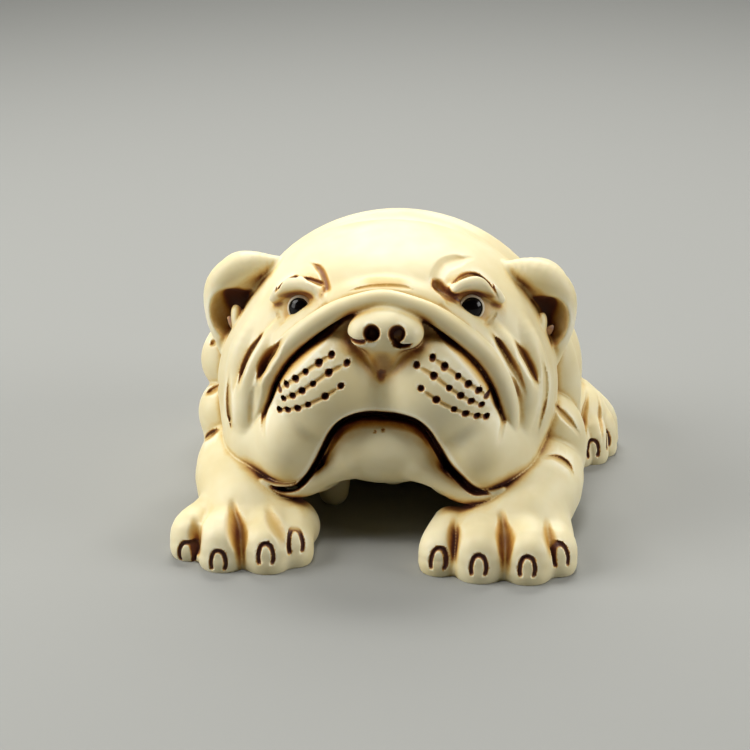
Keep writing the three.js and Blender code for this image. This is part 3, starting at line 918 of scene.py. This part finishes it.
def mesh_of(name, vertices, faces):
    """A mesh in metres from millimetres and an array of triangles or quads."""
    mesh = bpy.data.meshes.new(name)
    mesh.vertices.add(len(vertices))
    mesh.vertices.foreach_set("co", (vertices * MM).astype(np.float32).ravel())
    sides = faces.shape[1]
    mesh.loops.add(faces.size)
    mesh.loops.foreach_set("vertex_index", faces.astype(np.int32).ravel())
    mesh.polygons.add(len(faces))
    mesh.polygons.foreach_set("loop_start", np.arange(0, faces.size, sides, dtype=np.int32))
    mesh.update(calc_edges=True)
    return mesh


def positions(mesh):
    """The places of a mesh's vertices in millimetres."""
    co = np.empty(len(mesh.vertices) * 3, np.float32)
    mesh.vertices.foreach_get("co", co)
    return co.reshape(-1, 3).astype(float) * 1000


def settle(clay, points):
    """Moves points onto the clay's surface."""
    d, out, slope = gradient(clay, points)
    points = points - out * np.clip(d / np.maximum(slope, 0.6), -MOST_SHIFT, MOST_SHIFT)[:, None]
    points[:, 2] = np.maximum(points[:, 2], 0.0)
    return points


def sculpture(clay, name):
    """The clay as a smooth closed mesh, with its normals and its values for the colour: real staining,
    painted shade and painted highlight.
    """
    low = np.array([-23.0, -25.0, -1.0])
    high = np.array([28.0, 29.0, 31.0])
    vertices, quads = skin(scan(clay, low, high, STEP), low, STEP)
    vertices = settle(clay, vertices)
    piece = bpy.data.objects.new(name, mesh_of(name, vertices, quads))
    bpy.context.scene.collection.objects.link(piece)
    triangles = 2 * len(quads)
    if triangles > MOST_FACES:
        thin = piece.modifiers.new("thin", "DECIMATE")
        thin.ratio = MOST_FACES / triangles
        thin.use_collapse_triangulate = True
        bpy.context.view_layer.update()
        thinned = piece.evaluated_get(bpy.context.evaluated_depsgraph_get())
        piece.data = bpy.data.meshes.new_from_object(thinned)
        piece.modifiers.clear()
    points = settle(clay, settle(clay, positions(piece.data)))
    out = gradient(clay, points)[1]
    piece.data.vertices.foreach_set("co", (points * MM).astype(np.float32).ravel())
    piece.data.update()
    piece.data.shade_smooth()
    piece.data.normals_split_custom_set_from_vertices(out.astype(np.float32))
    paint(piece.data, clay, points, out)
    return piece


def paint(mesh, clay, points, out):
    """Vertex values for the colour: how recessed a point is, for real staining and painted shade in
    hollows; how proud it is, for real polish and painted highlight on ridges; and how much dye and painted
    shade it holds.
    """
    _, cuts = evaluate(clay, points, stained=True)
    # The distances out along the normal measure how enclosed a point is, as ambient occlusion does; the
    # material turns this into painted shade as well as real staining.
    distances = np.array([0.3, 0.8, 1.6, 3.0])[:, None]
    shares = np.array([0.2, 0.25, 0.3, 0.25])
    away = (points[None] + out[None] * distances[..., None]).reshape(-1, 3)
    gaps = evaluate(clay, away, reach=3.2).reshape(len(shares), -1)
    recess = shares @ np.clip((distances - gaps) / distances, 0.0, 1.5)
    # The bend marks proud ridges, which the material paints paler, as real polish and as painted highlight.
    steps = np.array([0.35, -0.35, 0.8, -0.8])
    beside = (points[None] + out[None] * steps[:, None, None]).reshape(-1, 3)
    bend = (1 / abs(steps)) @ evaluate(clay, beside, reach=1.0).reshape(4, -1)
    for label, values in (("recess", recess), ("proud", bend), ("cuts", cuts)):
        mesh.attributes.new(label, "FLOAT", "POINT").data.foreach_set("value", values.astype(np.float32))


# ---------- Materials ----------

# The darkest that the real staining and the painted shade may make the colour.
DARKEST_STAIN_AND_SHADE = (0.10, 0.03, 0.018, 1)


def material(name):
    """A new material, its node tree and its shader."""
    made = bpy.data.materials.new(name)
    made.use_nodes = True
    return made, made.node_tree, made.node_tree.nodes["Principled BSDF"]


def feed(tree, node, inputs):
    """Links each input of a node, by name or number, to a socket, or sets a value on it."""
    for place, value in inputs.items():
        if hasattr(value, "links"):
            tree.links.new(value, node.inputs[place])
        else:
            node.inputs[place].default_value = value


def mix(tree, kind, factor, a, b):
    """A colour mix. Factor, a and b are sockets or values."""
    node = tree.nodes.new("ShaderNodeMix")
    node.data_type, node.blend_type, node.clamp_result = "RGBA", kind, True
    feed(tree, node, {0: factor, 6: a, 7: b})
    return node.outputs[2]


def maths(tree, kind, *values, clamp=False):
    """A calculation on up to three sockets or values."""
    node = tree.nodes.new("ShaderNodeMath")
    node.operation, node.use_clamp = kind, clamp
    feed(tree, node, dict(enumerate(values)))
    return node.outputs[0]


def attribute(tree, name):
    """A value that was stored at each vertex."""
    node = tree.nodes.new("ShaderNodeAttribute")
    node.attribute_name = name
    return node.outputs["Fac"]


def noise(tree, scale, detail, roughness=0.6):
    """A noise over the object's own space, in cells per metre."""
    place = tree.nodes.new("ShaderNodeTexCoord").outputs["Object"]
    node = tree.nodes.new("ShaderNodeTexNoise")
    feed(tree, node, {"Vector": place, "Scale": scale, "Detail": detail, "Roughness": roughness})
    return node.outputs["Fac"]


def ramp(tree, value, stops):
    """A colour for each value, between stops that are given in rising order."""
    node = tree.nodes.new("ShaderNodeValToRGB")
    elements = node.color_ramp.elements
    for i, (at, colour) in enumerate(stops):
        stop = elements[i] if i < 2 else elements.new(at)
        stop.position = at
        stop.color = (*colour, 1)
    feed(tree, node, {"Fac": value})
    return node.outputs["Color"]


def ivory():
    """Cream in yellower and paler patches, palest where proud, partly real polish and partly painted
    highlight, and browner in its hollows and cuts, partly real staining and partly painted shade.
    """
    made, tree, shader = material("stained_ivory")
    patches = [(0.35, (0.78, 0.67, 0.38)), (0.62, (0.84, 0.76, 0.50))]
    cream = ramp(tree, noise(tree, 140, 3), patches)
    # Paler on proud ridges: partly real polish, partly painted highlight.
    proud = maths(tree, "MULTIPLY", attribute(tree, "proud"), 0.8, clamp=True)
    cream = mix(tree, "MIX", proud, cream, (0.95, 0.89, 0.68, 1))
    wander = maths(tree, "MULTIPLY_ADD", noise(tree, 420, 5, 0.7), 0.5, -0.25)
    recess = maths(tree, "ADD", attribute(tree, "recess"), wander)
    # Painted shade and real staining: the more recessed a point, the browner it is, down to near black.
    stained = ramp(tree, recess, [
        (0.16, (1, 1, 1)),
        (0.34, (0.95, 0.86, 0.66)),
        (0.55, (0.80, 0.60, 0.32)),
        (0.78, (0.42, 0.20, 0.08)),
        (1.0, (0.10, 0.035, 0.015)),
    ])
    body = mix(tree, "MULTIPLY", 1.0, cream, stained)
    # The cuts value holds the dye and the marks of cuts: partly real staining, partly painted shade.
    blotched = maths(tree, "MULTIPLY", wander, attribute(tree, "cuts"))
    cuts = maths(tree, "ADD", attribute(tree, "cuts"), blotched, clamp=True)
    dyed_and_shaded = ramp(tree, cuts, [
        (0.0, (1, 1, 1)),
        (0.3, (0.85, 0.66, 0.36)),
        (0.6, (0.36, 0.16, 0.06)),
        (1.0, (0.035, 0.012, 0.006)),
    ])
    body = mix(tree, "MULTIPLY", 1.0, body, dyed_and_shaded)
    bump = tree.nodes.new("ShaderNodeBump")
    feed(tree, bump, {"Strength": 0.12, "Distance": 0.0001, "Height": noise(tree, 900, 6, 0.65)})
    feed(tree, shader, {
        "Base Color": mix(tree, "LIGHTEN", 1.0, body, DARKEST_STAIN_AND_SHADE),
        "Roughness": maths(tree, "MULTIPLY_ADD", noise(tree, 2600, 6, 0.75), 0.25, 0.36),
        "Normal": bump.outputs["Normal"],
        "Subsurface Weight": 0.12,
        "Subsurface Radius": (1.0, 0.7, 0.4),
        "Subsurface Scale": 0.0012,
    })
    return made


def inlay(name, colour, roughness, coat):
    """A polished bead or pin, slightly uneven in tint."""
    made, tree, shader = material(name)
    pale = tuple(min(1, c * 1.12) for c in colour)
    feed(tree, shader, {
        "Base Color": ramp(tree, noise(tree, 1500, 3), [(0.35, colour), (0.7, pale)]),
        "Roughness": roughness,
        "Coat Weight": coat,
        "Coat Roughness": 0.05,
        "Specular IOR Level": 0.2,
    })
    return made


def floor_material():
    """A plain matt grey."""
    made, tree, shader = material("pale_floor")
    feed(tree, shader, {"Base Color": (0.282, 0.287, 0.275, 1), "Roughness": 0.8})
    return made


# ---------- The eyes ----------


def dome(from_width, radius, to_width, count, lift=0.0):
    """Points of a shallow dome, from its edge inwards."""
    edge = math.sqrt(radius**2 - from_width**2)
    widths = [from_width + (to_width - from_width) * i / count for i in range(count + 1)]
    return [(w, math.sqrt(radius**2 - w**2) - edge + lift) for w in widths]


def lathed(name, profile, segments=48):
    """A solid of revolution about Z from (radius, height) pairs in millimetres, from its bottom up."""
    turns = [2 * math.pi * i / segments for i in range(segments)]
    vertices, rings = [], []
    for radius, height in profile:
        around = turns if radius > 1e-6 else [0.0]
        ring = [(radius * math.cos(t), radius * math.sin(t), height) for t in around]
        rings.append(range(len(vertices), len(vertices) + len(ring)))
        vertices += ring
    faces = []
    for a, b in zip(rings, rings[1:]):
        for i in range(segments):
            j = (i + 1) % segments
            corners = [a[i % len(a)], a[j % len(a)], b[j % len(b)], b[i % len(b)]]
            faces.append(tuple(dict.fromkeys(corners)))
    mesh = bpy.data.meshes.new(name)
    mesh.from_pydata([tuple(c * MM for c in v) for v in vertices], [], faces)
    mesh.shade_smooth()
    piece = bpy.data.objects.new(name, mesh)
    bpy.context.scene.collection.objects.link(piece)
    return piece


def bead(name):
    """An eyeball: a pale bead with a domed rim and a hollow for its pupil."""
    outside = [(0, -1.6), (1.2, -1.6), (1.32, -0.3)] + dome(1.32, 1.7, 1.1, 12)
    return lathed(name, outside + [(1.1, -0.6), (0, -0.6)])


def pin(name):
    """A pupil: a near-black domed pin."""
    return lathed(name, [(0, -0.5), (1.07, -0.5)] + dome(1.07, 1.6, 0.0, 16, 0.1))


def set_in_socket(piece, side):
    """Turns a bead or pin outwards and puts it in its eye socket."""
    outward = Vector((side * 0.22, -0.95, 0.2)).normalized()
    piece.data.transform(outward.to_track_quat("Z", "Y").to_matrix().to_4x4())
    piece.location = Vector(EYES[side]) * MM


# ---------- The pieces in place ----------

eyeball_material = inlay("pale_bead", (0.62, 0.55, 0.42), roughness=0.3, coat=0.4)
pupil_material = inlay("dark_pin", (0.004, 0.003, 0.003), roughness=0.15, coat=0.03)
dog = sculpture(figure(), "carved_bulldog")
dog.data.materials.append(ivory())
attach(dog, "root")
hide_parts("carved_body")

for word, side in (("left", 1), ("right", -1)):
    for piece, node, slot, look in (
        (bead(f"{word}_eyeball_bead"), f"{word}_eyeball", "pale_inlay", eyeball_material),
        (pin(f"{word}_pupil_pin"), f"{word}_pupil", "dark_inlay", pupil_material),
    ):
        set_in_socket(piece, side)
        piece.data.materials.append(look)
        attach(piece, "root")
        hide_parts(node)

# ---------- Floor, lights and camera ----------

WARM_WHITE = (1.0, 0.985, 0.95)
LIGHTS = [  # name, place, target, width and depth, and power
    ("softbox_behind", (0, 0.6, 0.5), (0, 0.4, 0), (0.7, 0.3), 2.7),
    ("strip_behind", (0, 0.24, 0.4), (0, 0, 0.01), (0.3, 0.08), 1.2),
    ("softbox_above", (-0.02, -0.06, 0.42), (0, 0, 0.01), (0.12, 0.08), 0.55),
    ("softbox_left", (-0.3, -0.04, 0.26), (0, 0, 0.01), (0.2, 0.2), 1.0),
    ("side_left", (-0.36, -0.1, 0.1), (0, 0, 0.01), (0.2, 0.14), 0.4),
    ("side_right", (0.34, -0.03, 0.15), (0, 0, 0.01), (0.2, 0.14), 0.7),
]
AZIMUTH = math.radians(5)
ELEVATION = math.radians(20)
DISTANCE = 0.150
HALF_VIEW = math.radians(14.25)
LOOK_AT = Vector((-0.0012, -0.0089, 0.0160))


def flat_square(name, reach):
    """A square at z = 0 that reaches so many metres to each side of the middle."""
    square = bpy.data.objects.new(name, bpy.data.meshes.new(name))
    corners = [(reach * x, reach * y, 0) for x, y in ((-1, -1), (1, -1), (1, 1), (-1, 1))]
    square.data.from_pydata(corners, [], [(0, 1, 2, 3)])
    bpy.context.scene.collection.objects.link(square)
    return square


def area_light(name, place, target, size, power):
    """A rectangular lamp at a place, turned to its target."""
    light = bpy.data.lights.new(name, "AREA")
    light.shape, light.size, light.size_y = "RECTANGLE", size[0], size[1]
    light.energy, light.color = power, WARM_WHITE
    lamp = bpy.data.objects.new(name, light)
    lamp.location = place
    lamp.rotation_euler = (Vector(target) - Vector(place)).to_track_quat("-Z", "Y").to_euler()
    bpy.context.scene.collection.objects.link(lamp)


def dim_world():
    """A faint cool light from all round, so that no shadow is fully black."""
    world = bpy.data.worlds.new("studio")
    world.use_nodes = True
    background = world.node_tree.nodes["Background"]
    feed(world.node_tree, background, {"Color": (0.95, 0.97, 1.0, 1), "Strength": 0.005})
    return world


def close_camera():
    """A camera close in front of the figure and a little above it."""
    level = math.cos(ELEVATION)
    back = Vector((math.sin(AZIMUTH) * level, -math.cos(AZIMUTH) * level, math.sin(ELEVATION)))
    camera = bpy.data.objects.new("camera", bpy.data.cameras.new("camera"))
    camera.data.sensor_width = 36
    camera.data.lens = camera.data.sensor_width / 2 / math.tan(HALF_VIEW)
    camera.data.clip_start = 0.01
    camera.location = LOOK_AT + back * DISTANCE
    camera.rotation_mode = "QUATERNION"
    camera.rotation_quaternion = (-back).to_track_quat("-Z", "Y")
    bpy.context.scene.collection.objects.link(camera)
    return camera


floor = flat_square("floor", 3)
floor.data.materials.append(floor_material())
for lamp in LIGHTS:
    area_light(*lamp)
bpy.context.scene.world = dim_world()
bpy.context.scene.camera = close_camera()
bpy.context.scene.view_settings.view_transform = "Standard"
bpy.context.view_layer.update()
